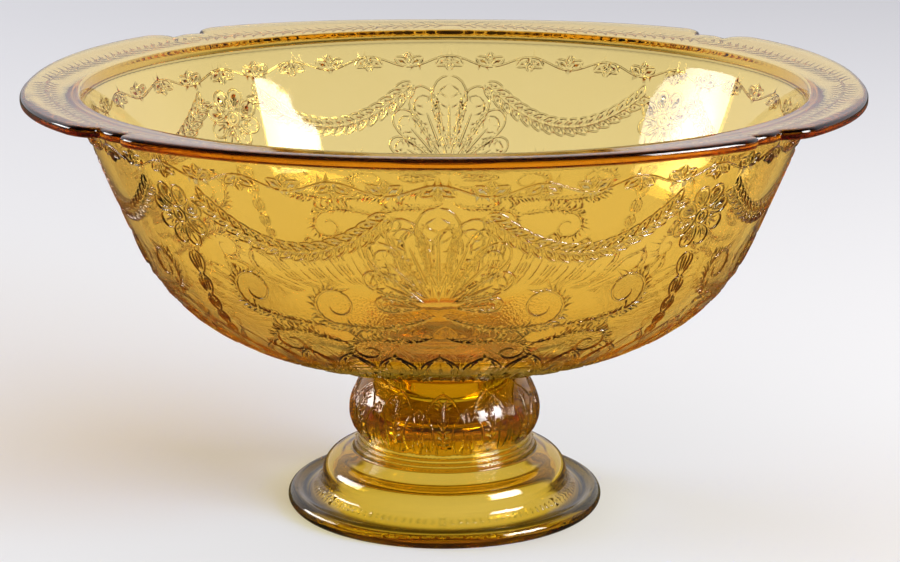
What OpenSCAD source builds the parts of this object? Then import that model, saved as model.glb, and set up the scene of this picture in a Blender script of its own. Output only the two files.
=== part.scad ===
// Footed centrepiece bowl in pressed glass, in millimetres, Z up.
// A lobed, flanged bowl stands on a pedestal with a hollow ball stem.
// Both are pressed on their own and joined hot, face to face, at one flat ring.
// The origin is the middle of the rest face, and a lobe of the rim faces each of X and Y.

/* [Rim] */
// Radius at which the flange begins, round the mouth
mouth_r = 126; // [118:0.5:132]
// Width of the flange at the middle of a lobe
flange_w = 17.3; // [13:0.1:22]
// How much the flange rises from the mouth to its edge at the middle of a lobe
flange_rise = 1.9; // [0:0.1:4]
// Thickness of the flange, rounded off in full at its edge
flange_t = 3.5; // [2.8:0.1:4.5]
// Power of the rounded square that the rim follows, where 2 is a circle
rim_power = 2.25; // [2.1:0.05:2.6]
// How far the small ear at each corner stands back from the rounded square
ear_setback = 5.6; // [4:0.2:8]
// Half the width of an ear, from its middle to its notch
ear_half_w = 7; // [5:0.5:10]
// How far an ear bulges out between its two notches
ear_crown = 1.5; // [0.6:0.1:2.5]
// Length over which a lobe rounds down into its notch
shoulder_w = 10; // [7:0.5:14]

/* [Bowl] */
// Height from the seat to the top of the flange at the middle of a lobe
bowl_h = 96.4; // [88:0.2:106]
// Lean of the straight upper wall, in degrees from upright
wall_lean = 22.4; // [16:0.2:26]
// Height above the seat at which the wall starts to turn in
wall_break = 44; // [38:0.5:50]
// Thickness of the upper wall
wall_t = 3.3; // [2.8:0.1:4]
// Thickness of the floor over the seat
floor_t = 5.5; // [4.5:0.1:8]
// Radius at which the turn of the wall meets the flatter base
base_r = 60; // [54:0.5:66]
// Height of the underside above the seat at that radius
base_rise = 5.1; // [4:0.1:6.5]
// Radius of the flat seat under the bowl
seat_r = 34; // [30:0.5:38]

/* [Foot] */
// Outer radius of the foot
foot_r = 55.9; // [54:0.1:62]
// Radius of the rounded bead that edges the foot
bead_r = 3.1; // [2.6:0.1:3.6]
// Width from the middle of the bead in to the valley beside it
valley_w = 3.1; // [2.8:0.1:4]
// Height of the glass in that valley
valley_h = 5; // [4.4:0.1:5.6]
// Width of the sloping band between the valley and the dome
band_w = 6.1; // [5:0.1:7.5]
// Height at which the dome is widest
dome_mid_h = 10.4; // [9:0.2:12]
// Width over which the side of the dome rounds in
dome_round_w = 7.3; // [6:0.1:9]
// Height over which the side of the dome rounds in
dome_round_h = 8.2; // [7:0.1:9]
// Height of the dome where the collar stands on it
dome_h = 20.2; // [19:0.2:24]
// Thickness of the glass over the hollow foot
foot_t = 4.4; // [3.6:0.1:5]

/* [Stem] */
// Outer radius of the collar's lowest ring
collar_r = 32.2; // [31:0.1:34]
// Step in from one ring of the collar to the next
ring_step = 0.8; // [0.5:0.1:1]
// Height of one ring of the collar
ring_h = 1.6; // [1.2:0.1:2]
// Radius of the groove under the ball
groove_r = 30.1; // [28.6:0.1:30.4]
// Largest radius of the ball
ball_r = 33.4; // [31.8:0.1:36]
// Height of the ball, from the groove to the neck
ball_h = 24; // [21:0.5:28]
// Radius at which the ball ends and the neck begins
neck_top_r = 26.6; // [26:0.1:28]
// Height of the neck, from the ball to the seat
neck_h = 7; // [5:0.5:9]
// Radius of the waist of the neck
waist_r = 25; // [24:0.1:26]
// Outer radius of the ring that the bowl is joined to
joint_r = 26; // [25:0.1:28]
// Radius of the cup inside the ball, which the bowl closes
cup_r = 19; // [17:0.2:20]
// Depth of that cup
cup_depth = 17.5; // [14:0.5:19]
// Thickness of the web between the cup and the hollow foot
web_t = 7; // [5.5:0.5:8]

/* [Hidden] */

// Heights that stack up from the table to the rim
ring_rows = 3;
groove_h = dome_h + ring_rows * ring_h;
ball_top_h = groove_h + ball_h;
seat_h = ball_top_h + neck_h;
rim_h = seat_h + bowl_h;
mouth_h = rim_h - flange_rise;

// Even steps from just after 0 up to 1, and curves drawn towards one or two pull points
function steps(n) = [for (i = [1 : n]) i / n];
function bend2(a, b, c, n) =
    [for (t = steps(n)) a * pow(1 - t, 2) + b * 2 * t * (1 - t) + c * pow(t, 2)];
function bend3(a, b, c, d, n) =
    [for (t = steps(n))
        a * pow(1 - t, 3) + b * 3 * t * pow(1 - t, 2) + c * 3 * pow(t, 2) * (1 - t) + d * pow(t, 3)];
function last(list) = list[len(list) - 1];
function reversed(list) = [for (i = [len(list) - 1 : -1 : 0]) list[i]];

// The rim in plan: a rounded square with a notched ear at each corner
rim_half_w = mouth_r + flange_w;
function square_r(a) =
    rim_half_w / pow(pow(abs(cos(a)), rim_power) + pow(abs(sin(a)), rim_power), 1 / rim_power);
corner_angle = 45;
quarter_turn = 90;
ear_r = square_r(corner_angle) - ear_setback;
notch_r = ear_r - ear_crown;
ear_angle = ear_half_w / ear_r * 180 / PI;
shoulder_angle = shoulder_w / ear_r * 180 / PI;
ear_steps = 2;
shoulder_steps = 6;
lobe_steps = 7;
lobe_start = ear_angle + shoulder_angle;

// Angles from the middle of a corner to the middle of a lobe, closest where the rim turns most
half_lobe = concat(
    [for (t = steps(ear_steps)) ear_angle * t],
    [for (t = steps(shoulder_steps)) ear_angle + shoulder_angle * (1 - cos(quarter_turn * t))],
    [for (t = steps(lobe_steps)) lobe_start + (corner_angle - lobe_start) * t]);
half_count = len(half_lobe);
turn_angles = [
    for (corner = [0 : 3])
        let (middle = corner_angle + quarter_turn * corner)
        for (i = [-half_count : half_count - 1])
            middle + (i == 0 ? 0 : sign(i) * half_lobe[abs(i) - 1])];
turn_count = len(turn_angles);

function from_corner(a) = abs(a - quarter_turn * floor(a / quarter_turn) - corner_angle);
function shoulder_share(gap) = min(1, max(0, (gap - ear_angle) / shoulder_angle));
function edge_r(a) =
    let (gap = from_corner(a))
    gap < ear_angle
        ? ear_r - ear_crown * pow(gap / ear_angle, 2)
        : notch_r + (square_r(a) - notch_r) * sqrt(1 - pow(1 - shoulder_share(gap), 2));

function on_circle(r, a) = [r * cos(a), r * sin(a)];
edge_points = [for (a = turn_angles) on_circle(edge_r(a), a)];
function along(i) =
    edge_points[(i + 1) % turn_count] - edge_points[(i + turn_count - 1) % turn_count];
edge_outward = [for (i = [0 : turn_count - 1]) let (d = along(i)) [d.y, -d.x] / norm(d)];

// The flange: its top climbs evenly with the distance from the mouth
edge_round = flange_t / 2;
crest_points = [for (i = [0 : turn_count - 1]) edge_points[i] - edge_round * edge_outward[i]];
function flange_top(p) = mouth_h + flange_rise * max(0, norm(p) - mouth_r) / flange_w;
function flange_ring(start_r, share, drop) =
    [for (i = [0 : turn_count - 1])
        let (start = on_circle(start_r, turn_angles[i]))
        let (p = start * (1 - share) + crest_points[i] * share)
        [p.x, p.y, flange_top(p) - drop]];
function edge_ring(tilt) =
    [for (i = [0 : turn_count - 1])
        let (p = crest_points[i])
        let (q = p + edge_round * cos(tilt) * edge_outward[i])
        [q.x, q.y, flange_top(p) - edge_round + edge_round * sin(tilt)]];

// The wall in section, as pairs of radius and height. It runs straight from the corner
// under the flange down to the heel, which curves in to the base and the flat seat.
wall_way = [sin(wall_lean), cos(wall_lean)];
roll_down = 4.2;
under_fillet = 4;
wall_step = 0.6;
under_corner = [mouth_r + wall_step, mouth_h - flange_t];
wall_foot = under_corner - wall_way * (under_corner.y - seat_h - wall_break) / wall_way.y;
heel_pull_top = 22;
heel_pull_base = 24;
base_slope = 15.5;
base_start = [base_r, seat_h + base_rise];
base_way = [cos(base_slope), sin(base_slope)];
seat_pull = 10;
wall_start = under_corner - wall_way * under_fillet;
fillet_end_r = under_corner.x + under_fillet;

outer_wall = concat(
    [[seat_r, seat_h]],
    bend3([seat_r, seat_h], [seat_r + seat_pull, seat_h],
        base_start - base_way * seat_pull, base_start, 3),
    bend3(base_start, base_start + base_way * heel_pull_base,
        wall_foot - wall_way * heel_pull_top, wall_foot, 9),
    [(wall_foot + wall_start) / 2, wall_start]);
under_flange = bend2(wall_start, under_corner, under_corner + [under_fillet, 0], 3);

// The inside runs along the outside, one wall away, and gets thicker towards the floor
inner_corner = under_corner + [-wall_t * wall_way.y, wall_t * wall_way.x]
    + wall_way * (flange_t - wall_t * wall_way.x) / wall_way.y;
function thickness(h) =
    let (share = min(1, max(0, (h - seat_h) / wall_break)))
    floor_t + (wall_t - floor_t) * share;
function inward(list, i) =
    let (d = list[min(i + 1, len(list) - 1)] - list[max(i - 1, 0)])
    [-d.y, d.x] / norm(d);
outer_count = len(outer_wall);
inner_wall = concat(
    [[seat_r, seat_h + floor_t]],
    [for (i = [1 : outer_count - 3])
        outer_wall[i] + thickness(outer_wall[i].y) * inward(outer_wall, i)]);
mouth_roll = bend2([mouth_r, mouth_h], [inner_corner.x, mouth_h],
    inner_corner - wall_way * roll_down, 4);

// Rings of the shell, from the seat out over the rim and back down to the floor
function round_ring(p) = [for (a = turn_angles) [p.x * cos(a), p.x * sin(a), p.y]];
flange_shares = [0.3, 0.65];
edge_tilts = [-90, -55, -20, 20, 55, 90];
shell_rings = concat(
    [for (p = outer_wall) round_ring(p)],
    [for (i = [0 : 1]) round_ring(under_flange[i])],
    [flange_ring(fillet_end_r, 0, flange_t)],
    [for (share = flange_shares) flange_ring(fillet_end_r, share, flange_t)],
    [for (tilt = edge_tilts) edge_ring(tilt)],
    [for (share = reversed(flange_shares)) flange_ring(mouth_r, share, 0)],
    [round_ring([mouth_r, mouth_h])],
    [for (p = mouth_roll) round_ring(p)],
    [for (p = reversed(inner_wall)) round_ring(p)]);
ring_count = len(shell_rings);
shell_points = concat(
    [for (ring = shell_rings) each ring],
    [[0, 0, seat_h], [0, 0, seat_h + floor_t]]);
under_pole = ring_count * turn_count;
floor_pole = under_pole + 1;
function at(ring, turn) = ring * turn_count + turn % turn_count;
shell_faces = concat(
    [for (t = [0 : turn_count - 1]) [under_pole, at(0, t), at(0, t + 1)]],
    [for (r = [0 : ring_count - 2]) for (t = [0 : turn_count - 1])
        each [[at(r, t), at(r + 1, t), at(r + 1, t + 1)], [at(r, t), at(r + 1, t + 1), at(r, t + 1)]]],
    [for (t = [0 : turn_count - 1]) [floor_pole, at(ring_count - 1, t + 1), at(ring_count - 1, t)]]);

module bowl() {
    color([0.91, 0.70, 0.27])
        polyhedron(points = shell_points, faces = shell_faces, convexity = 6);
}

// The outside of the pedestal in section, from the table up: bead, valley, band, dome,
// ringed collar, groove, ball, waist and the flat ring that meets the bowl
bead_mid_r = foot_r - bead_r;
valley_r = bead_mid_r - valley_w;
dome_r = valley_r - band_w;
dome_middle = [dome_r - dome_round_w, dome_mid_h];
bead_arc = [for (tilt = [-90 : 20 : 90])
    [bead_mid_r, bead_r] + bead_r * [cos(tilt), sin(tilt)]];
dome_arc = [for (tilt = [-15 : 15 : 75])
    dome_middle + [dome_round_w * cos(tilt), dome_round_h * sin(tilt)]];
dome_top = dome_middle + [0, dome_round_h];
valley = [valley_r, valley_h];
band_top = dome_arc[0];
collar_foot = [collar_r, dome_h];
ring_round = 0.35;
function ring_outline(k) =
    let (r = collar_r - k * ring_step)
    let (h = dome_h + k * ring_h)
    [[r - ring_round, h], [r, h + ring_round], [r, h + ring_h - ring_round],
        [r - ring_round, h + ring_h]];
collar_outline = [for (k = [0 : ring_rows - 1]) each ring_outline(k)];
ball_mid_share = 0.38;
ball_mid = [ball_r, groove_h + ball_h * ball_mid_share];
groove = [groove_r, groove_h];
ball_end = [neck_top_r, ball_top_h];
joint = [joint_r, seat_h];
waist_share = 0.45;
waist = [waist_r, ball_top_h + neck_h * waist_share];
low_pull = 3.4;
side_pull = 5.3;
top_pull = 6.3;
ball_start_slope = 62;
ball_end_slope = 50;
ball_start_way = [cos(ball_start_slope), sin(ball_start_slope)];
ball_end_way = [cos(ball_end_slope), -sin(ball_end_slope)];
valley_pull = 1.6;
band_pull = 3.9;
neck_pull = 2;
joint_pull = 1.4;

pedestal_outside = concat(
    bead_arc,
    bend2(last(bead_arc), valley + [valley_pull, 0], valley, 5),
    bend2(valley, valley - [band_pull, 0], band_top, 5),
    dome_arc,
    bend2(last(dome_arc), dome_top, collar_foot, 4),
    collar_outline,
    [groove],
    bend3(groove, groove + ball_start_way * low_pull, ball_mid - [0, low_pull], ball_mid, 7),
    bend3(ball_mid, ball_mid + [0, side_pull], ball_end + ball_end_way * top_pull, ball_end, 8),
    bend2(ball_end, waist - [0, neck_pull], waist, 3),
    bend2(waist, [waist_r, seat_h - joint_pull], joint, 3));

// The cup in the top of the stem, and the hollow under the foot
cup_floor_h = seat_h - cup_depth;
cup_round = 5;
cup_outline = concat(
    [[cup_r, seat_h], [cup_r, cup_floor_h + cup_round]],
    bend2([cup_r, cup_floor_h + cup_round], [cup_r, cup_floor_h], [cup_r - cup_round, cup_floor_h], 4),
    [[0, cup_floor_h]]);
hollow_top_h = cup_floor_h - web_t;
rest_w = 3.8;
rest_in_r = bead_mid_r - rest_w;
rest_chamfer = 1;
hollow_side = [dome_r - foot_t, dome_mid_h];
hollow_roof = [dome_middle.x, dome_mid_h + dome_round_h - foot_t];
hollow_skirt = [rest_in_r - rest_chamfer, rest_chamfer];
stem_hollow_r = 21;
stem_hollow_h = 24;
stem_hollow = [stem_hollow_r, stem_hollow_h];
stem_pull = 4.5;
roof_pull = 8;
top_hollow_pull = 13;
stem_lean = [-stem_pull, stem_pull] * sqrt(1 / 2);
hollow_outline = concat(
    [[0, hollow_top_h]],
    bend3([0, hollow_top_h], [top_hollow_pull, hollow_top_h], stem_hollow + stem_lean, stem_hollow, 6),
    bend3(stem_hollow, stem_hollow - stem_lean, hollow_roof - [roof_pull, 0], hollow_roof, 6),
    bend2(hollow_roof, [hollow_side.x, hollow_roof.y], hollow_side, 5),
    bend2(hollow_side, [hollow_side.x, hollow_skirt.y], hollow_skirt, 5),
    [[rest_in_r, 0]]);

module pedestal() {
    color([0.80, 0.68, 0.24])
        rotate_extrude($fn = 120)
            polygon(concat(pedestal_outside, cup_outline, hollow_outline));
}

bowl();
pedestal();
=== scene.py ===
# %% [markdown]
# # A footed centre bowl in pressed glass
#
# The real object is two pressings of coloured glass, a lobed bowl and a pedestal, joined while
# they were hot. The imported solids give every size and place. This lesson gives them what a solid
# model leaves out: the raised ornament of the mould, the clear coloured glass and a plain studio.

# %% Load the fixed frame
import math

import bpy
import numpy as np
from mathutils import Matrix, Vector
from mathutils.geometry import delaunay_2d_cdt
from mathutils.kdtree import KDTree


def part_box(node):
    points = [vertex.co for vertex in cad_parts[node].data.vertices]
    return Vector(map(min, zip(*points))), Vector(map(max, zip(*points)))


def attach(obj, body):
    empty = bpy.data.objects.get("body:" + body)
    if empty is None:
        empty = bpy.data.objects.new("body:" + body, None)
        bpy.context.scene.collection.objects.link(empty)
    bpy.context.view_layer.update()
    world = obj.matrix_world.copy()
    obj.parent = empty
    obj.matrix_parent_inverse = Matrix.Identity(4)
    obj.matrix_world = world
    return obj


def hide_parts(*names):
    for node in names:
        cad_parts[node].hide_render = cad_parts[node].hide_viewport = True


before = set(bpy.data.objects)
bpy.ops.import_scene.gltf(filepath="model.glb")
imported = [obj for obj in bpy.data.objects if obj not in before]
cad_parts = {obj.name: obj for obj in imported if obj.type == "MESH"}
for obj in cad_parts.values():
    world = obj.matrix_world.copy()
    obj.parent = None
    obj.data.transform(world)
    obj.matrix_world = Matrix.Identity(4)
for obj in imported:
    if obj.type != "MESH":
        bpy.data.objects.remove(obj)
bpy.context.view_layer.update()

MM = 0.001
bowl_low, bowl_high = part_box("bowl")
pedestal_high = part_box("pedestal")[1]
print("bowl from", tuple(bowl_low), "to", tuple(bowl_high))


def put(name, data):
    """A new object in the scene, made of this data."""
    thing = bpy.data.objects.new(name, data)
    bpy.context.scene.collection.objects.link(thing)
    return thing

# %% [markdown]
# ## The camera
#
# A product photograph is taken from a little above with a long lens, which keeps the ellipses of
# a round object calm. The lens, height and tilt here were found by fitting the outline of the rim
# and the foot. The picture is 900 pixels wide, so a focal length in pixels becomes one in
# millimetres through the sensor's width. The bowl stands a hair to the left of the middle, which
# a lens shift gives without turning the camera.

# %% Place the camera
picture_w = 900
focal_px = 2515.3
sensor_w = 36
bowl_axis_px = 444.5
camera_reach = 857 * MM
camera_height = 294.6 * MM
camera_tilt = math.radians(14.05)
camera_turn = math.radians(0.93)

camera_data = bpy.data.cameras.new("camera")
camera_data.sensor_width = sensor_w
camera_data.lens = focal_px * sensor_w / picture_w
camera_data.shift_x = (picture_w / 2 - bowl_axis_px) / picture_w
camera = put("camera", camera_data)
camera.location = (
    camera_reach * math.sin(camera_turn), -camera_reach * math.cos(camera_turn), camera_height)
camera.rotation_euler = (math.pi / 2 - camera_tilt, 0, camera_turn)
bpy.context.scene.camera = camera
print("lens", round(camera_data.lens, 1), "mm")

# %% [markdown]
# ## Curves for sections
#
# Both pieces are made from sections, which are lists of radius and height. A stretch of section is
# drawn as a curve that is pulled towards its control points, the same kind that the solids use.
# Here it gets many more points, because clear glass shows every facet.

# %% Curves, directions and lengths
def curve(control, count):
    """Even steps along a curve, without its first point."""
    share = np.arange(1, count + 1)[:, None] / count
    level = [np.tile(np.array(p, float), (count, 1)) for p in control]
    while len(level) > 1:
        level = [a * (1 - share) + b * share for a, b in zip(level, level[1:])]
    return level[0]


def unit(vectors):
    """The same directions with length one."""
    return vectors / np.linalg.norm(vectors, axis=-1, keepdims=True)


def travel(points):
    """The direction of a line at each of its points, halfway between the spans beside it."""
    spans = unit(np.diff(points, axis=0))
    return unit(np.vstack([spans[:1], spans[:-1] + spans[1:], spans[-1:]]))


def right_of(ways):
    """Directions turned a quarter to the right, which is outward on a section that climbs."""
    return np.column_stack([ways[:, 1], -ways[:, 0]])


def toward(angle):
    """One direction at an angle."""
    return np.array([math.cos(angle), math.sin(angle)])


def circle(angles):
    """Points of a circle with radius one."""
    return np.column_stack([np.cos(angles), np.sin(angles)])


def run_of(line):
    """How far along a line each of its points is."""
    return np.concatenate([[0], np.cumsum(np.linalg.norm(np.diff(line, axis=0), axis=1))])


def read_at(stops, run, table):
    """Rows of a table at stops between its own rows, which lie as far along as run says."""
    return np.column_stack([np.interp(stops, run, column) for column in table.T])

# %% [markdown]
# ## The bowl in section
#
# The outside climbs from the flat seat over a sloping base, turns in a full heel, runs straight
# up the wall and folds out under the flange. The seat and the rim are read from the frame, so the
# skin lands on the solid it stands for.

# %% Sizes of the bowl
seat_h = bowl_low.z
rim_half_w = bowl_high.x
seat_r = 34 * MM
base_r = 60 * MM
base_rise = 5.1 * MM
base_slope = math.radians(15.5)
wall_lean = math.radians(22.4)
wall_break = 44 * MM
wall_t = 3.3 * MM
floor_t = 5.5 * MM
mouth_r = 126 * MM
mouth_h = seat_h + 94.5 * MM
flange_w = rim_half_w - mouth_r
flange_t = 3.5 * MM
flange_rise = 1.9 * MM
wall_step = 0.6 * MM
under_fillet = 3.2 * MM
seat_pull = 10 * MM
heel_pull_base = 24 * MM
heel_pull_top = 22 * MM
roll_down = 3.4 * MM
flange_reach = 27 * MM
base_spans, heel_spans, wall_spans = 10, 28, 18


def flange_top(radius):
    """Height of the top of the flange, which climbs evenly away from the mouth."""
    return mouth_h + flange_rise * np.maximum(0, radius - mouth_r) / flange_w

# %% Outside of the bowl
wall_way = np.array([math.sin(wall_lean), math.cos(wall_lean)])
base_way = toward(base_slope)
seat_edge = np.array([seat_r, seat_h])
base_start = np.array([base_r, seat_h + base_rise])
under_corner = np.array([mouth_r + wall_step, mouth_h - flange_t])
wall_foot = under_corner - wall_way * (under_corner[1] - seat_h - wall_break) / wall_way[1]
wall_start = under_corner - wall_way * under_fillet
fillet_end_r = under_corner[0] + under_fillet
flange_end_r = mouth_r + flange_reach
fillet_end = np.array([fillet_end_r, flange_top(fillet_end_r) - flange_t])
flange_end = np.array([flange_end_r, flange_top(flange_end_r) - flange_t])

bowl_outside = np.vstack([
    [seat_edge],
    curve([seat_edge, seat_edge + [seat_pull, 0],
           base_start - base_way * seat_pull, base_start], base_spans),
    curve([base_start, base_start + base_way * heel_pull_base,
           wall_foot - wall_way * heel_pull_top, wall_foot], heel_spans),
    curve([wall_foot, wall_start], wall_spans),
    curve([wall_start, under_corner, fillet_end], 6),
    curve([fillet_end, flange_end], 8)])
print("outside of the bowl:", len(bowl_outside), "points, wall foot at", wall_foot / MM)

# %% [markdown]
# ## A skin that can be laid flat
#
# Ornament is drawn on a flat plan and then wrapped round the piece. A plain unrolling would
# squeeze every motif where the bowl is narrow. This plan stretches both ways alike at each point,
# by the plan's radius over the real one, as a sea chart does, so a drawn circle lands as a circle.

# %% Unroll a turned surface
class Skin:
    """A turned surface and its flat plan: x runs round it and y runs up its section."""

    def __init__(self, section, plan_r):
        self.section = section
        self.plan_r = plan_r
        spans = np.linalg.norm(np.diff(section, axis=0), axis=1)
        middles = (section[1:, 0] + section[:-1, 0]) / 2
        self.rows = np.concatenate([[0], np.cumsum(spans / middles)]) * plan_r
        self.ways = travel(section)

    def row_at(self, index, value):
        """The y on the plan where the section reaches a radius (index 0) or a height (1)."""
        return float(np.interp(value, self.section[:, index], self.rows))

    def radius(self, y):
        return np.interp(y, self.rows, self.section[:, 0])

    def place(self, points, heights, slopes):
        """Angle, radius and height of points raised off the skin, and which way each one faces.

        Each facing is given as outward, round and up, so that it stays true when the piece
        is turned about its axis."""
        x, y = points.T
        ground = read_at(y, self.rows, self.section)
        way = unit(read_at(y, self.rows, self.ways))
        facing = right_of(way)
        raised = ground + heights[:, None] * facing
        stretch = self.plan_r / ground[:, 0]
        lean = facing - way * (slopes[:, 1] * stretch)[:, None]
        local = unit(np.column_stack([lean[:, 0], -slopes[:, 0] * stretch, lean[:, 1]]))
        return np.column_stack([x / self.plan_r, raised]), local


bowl_skin = Skin(bowl_outside, plan_r=115 * MM)
base_row = bowl_skin.row_at(0, base_r)
wall_foot_row = bowl_skin.row_at(1, wall_foot[1])
wall_top_row = bowl_skin.row_at(1, wall_start[1])
flange_row = bowl_skin.row_at(0, fillet_end_r)
print("plan rows in mm: base", round(base_row / MM, 1), "wall", round(wall_foot_row / MM, 1),
      "to", round(wall_top_row / MM, 1), "flange", round(flange_row / MM, 1))

# %% [markdown]
# ## Strokes
#
# The mould's ornament is made of cut grooves, which come out as low, round-backed ridges in the
# glass. Each ridge is a stroke: a line on the plan, a width, a height and how far each end
# tapers. Five rows of points follow a stroke and four a fine vein, so only where there is
# ornament is the mesh fine. A displacement on an even grid would need many times the faces for
# the same crispness.

# %% Describe and sample a stroke
line_w = 0.56 * MM
line_h = 0.5 * MM
vein_w = 0.42 * MM
vein_h = 0.4 * MM
stroke_step = 1.4 * MM
vein_step = 2 * MM
full_rows = (0, -0.5, 0.5, -1, 1)
vein_rows = (-0.5, 0.5, -1, 1)


def stroke(line, half_w=line_w, height=line_h, ends=(0.25, 0.25), step=stroke_step, rows=full_rows):
    """A ridge along a line. ends are the shares of its length over which it tapers."""
    return {"line": np.array(line, float), "half_w": half_w, "height": height, "ends": ends,
            "step": step, "rows": rows}


def vein(line, ends=(0.2, 0.5)):
    """A fine ridge, too narrow to need a row of points along its crest."""
    return stroke(line, vein_w, vein_h, ends, vein_step, vein_rows)


def taper(share, ends):
    """One along the middle of a stroke, falling to nothing at each tapering end."""
    start = share / ends[0] if ends[0] else np.ones_like(share)
    finish = (1 - share) / ends[1] if ends[1] else np.ones_like(share)
    return np.sin(np.clip(np.minimum(start, finish), 0, 1) * math.pi / 2)


def sample(mark, skin):
    """Even samples of a stroke: places, directions, half widths on the plan, and heights."""
    line = mark["line"]
    run = run_of(line)
    count = max(3, math.ceil(run[-1] / mark["step"]))
    share = np.arange(count + 1) / count
    places = read_at(share * run[-1], run, line)
    thin = taper(share, mark["ends"])
    half_w = mark["half_w"] * thin * skin.plan_r / skin.radius(places[:, 1])
    return places, travel(places), half_w, mark["height"] * thin

# %% [markdown]
# ## From strokes to a mesh
#
# One half of one lobe holds the whole design: mirrored it gives a lobe, and turned it gives the
# bowl. The points of all strokes and a coarse grid between them are joined by a Delaunay
# triangulation, which makes the best-shaped triangles that the points allow. The height at any
# point is that of the highest ridge that covers it, and its slope gives the shading.

# %% Measure the relief at any point
span_overlap = 0.52


class Relief:
    """The height and slope that a set of strokes gives to points of the plan."""

    def __init__(self, marks, skin):
        self.samples = [sample(mark, skin) for mark in marks]
        self.rows = [mark["rows"] for mark in marks]
        self.places, self.ways, self.half_w, self.heights = (
            np.concatenate([s[i] for s in self.samples]) for i in range(4))
        reach = [np.full(len(s[0]), np.linalg.norm(s[0][1] - s[0][0])) for s in self.samples]
        self.reach = np.concatenate(reach) * span_overlap
        self.tree = KDTree(len(self.places))
        for i, (x, y) in enumerate(self.places):
            self.tree.insert((x, y, 0), i)
        self.tree.balance()
        self.widest = float(np.hypot(self.half_w, self.reach).max())

    def at(self, points):
        """The height and slope at each point, from the highest ridge that covers it."""
        heights = np.zeros(len(points))
        slopes = np.zeros((len(points), 2))
        for k, (x, y) in enumerate(points):
            for _, i, _ in self.tree.find_range((x, y, 0), self.widest):
                if self.half_w[i] <= 0:
                    continue
                off = points[k] - self.places[i]
                way = self.ways[i]
                if abs(off @ way) > self.reach[i]:
                    continue
                across = way[0] * off[1] - way[1] * off[0]
                share = abs(across) / self.half_w[i]
                if share >= 1:
                    continue
                height = self.heights[i] * (1 + math.cos(math.pi * share)) / 2
                if height > heights[k]:
                    heights[k] = height
                    fall = (-self.heights[i] * math.sin(math.pi * share) * math.pi / 2
                            / self.half_w[i])
                    slopes[k] = fall * math.copysign(1, across) * np.array([-way[1], way[0]])
        return heights, slopes

# %% [markdown]
# Points that lie too close together make slivers, so each new point is kept only if nothing
# nearer than a given gap is there already. Crests are laid first, so that they win.

# %% Lay points without crowding
class Layer:
    """Points on the plan, none nearer to an earlier one than the gap asked for when it was laid."""

    def __init__(self, cell):
        self.cell = cell
        self.points = []
        self.cells = {}

    def crowded(self, point, gap):
        """Whether an earlier point lies nearer than the gap."""
        reach = math.ceil(gap / self.cell)
        cx, cy = (math.floor(c / self.cell) for c in point)
        return any(
            math.hypot(point[0] - other[0], point[1] - other[1]) < gap
            for i in range(cx - reach, cx + reach + 1)
            for j in range(cy - reach, cy + reach + 1)
            for other in self.cells.get((i, j), ()))

    def lay(self, point, gap):
        """Adds a point if there is room for it, and tells whether there was."""
        if self.crowded(point, gap):
            return False
        point = (float(point[0]), float(point[1]))
        self.points.append(point)
        self.cells.setdefault(tuple(math.floor(c / self.cell) for c in point), []).append(point)
        return True


row_gap = 0.18 * MM
ground_gap = 1.6 * MM
side_snap = 0.16 * MM


def lay_strokes(layer, sides, relief, inside):
    """Lays the rows of every stroke, crests first. Where a row meets a side, it meets it there."""
    for share in full_rows:
        for (places, ways, half_w, _), rows in zip(relief.samples, relief.rows):
            if share not in rows:
                continue
            across = -right_of(ways)
            row = places + across * (half_w * share)[:, None]
            for a, b in zip(row, row[1:]):
                for x, side in sides.items():
                    if (a[0] - x) * (b[0] - x) < 0:
                        y = a[1] + (b[1] - a[1]) * (x - a[0]) / (b[0] - a[0])
                        if inside(x, y, row_gap) and layer.lay((x, y), row_gap):
                            side.append(y)
            for point, wide in zip(row, half_w):
                if share and wide < row_gap:
                    continue
                near = [x for x in sides if abs(point[0] - x) < side_snap]
                if near and inside(near[0], point[1], row_gap):
                    if layer.lay((near[0], point[1]), row_gap):
                        sides[near[0]].append(float(point[1]))
                elif min(sides) < point[0] < max(sides) and inside(*point, row_gap) and not near:
                    layer.lay(point, row_gap)

# %% Stipple outlines and plain corners
wide_face = 1.3 * MM


def within(points, outline):
    """Whether each point lies inside a closed outline."""
    x, y = points.T
    found = np.zeros(len(points), bool)
    for (ax, ay), (bx, by) in zip(outline, np.roll(outline, -1, axis=0)):
        crosses = (ay > y) != (by > y)
        found ^= crosses & (x < (bx - ax) * (y - ay) / ((by - ay) or 1) + ax)
    return found


def loose_points(points, faces):
    """The corners of all wide triangles, the plain ones between strokes."""
    corners = points[faces]
    spans = np.roll(corners, -1, axis=1) - corners
    longest = np.linalg.norm(spans, axis=2).max(axis=1)
    area = np.abs(spans[:, 0, 0] * spans[:, 1, 1] - spans[:, 0, 1] * spans[:, 1, 0])
    return np.unique(faces[area / longest > wide_face])


def wound(points, faces):
    """The triangles with their corners in the order that makes them face outward."""
    turned = []
    for a, b, c in faces:
        ab, ac = points[b] - points[a], points[c] - points[a]
        turned.append((a, b, c) if ab[0] * ac[1] > ab[1] * ac[0] else (a, c, b))
    return turned

# %% [markdown]
# Carving puts it all together. The sides of the plan are the mirror lines, so points that meet a
# side lie on it exactly and nothing leans across it. Besides its place and facing, each point
# carries two numbers for the glass: whether it is stippled, as the ground inside a scroll is, and
# how steep the flank is that it lies on.

# %% Carve half a lobe
steepest = math.pi / 2 * line_h / line_w
keep_inside, same_point = 1, 1e-8


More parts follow.
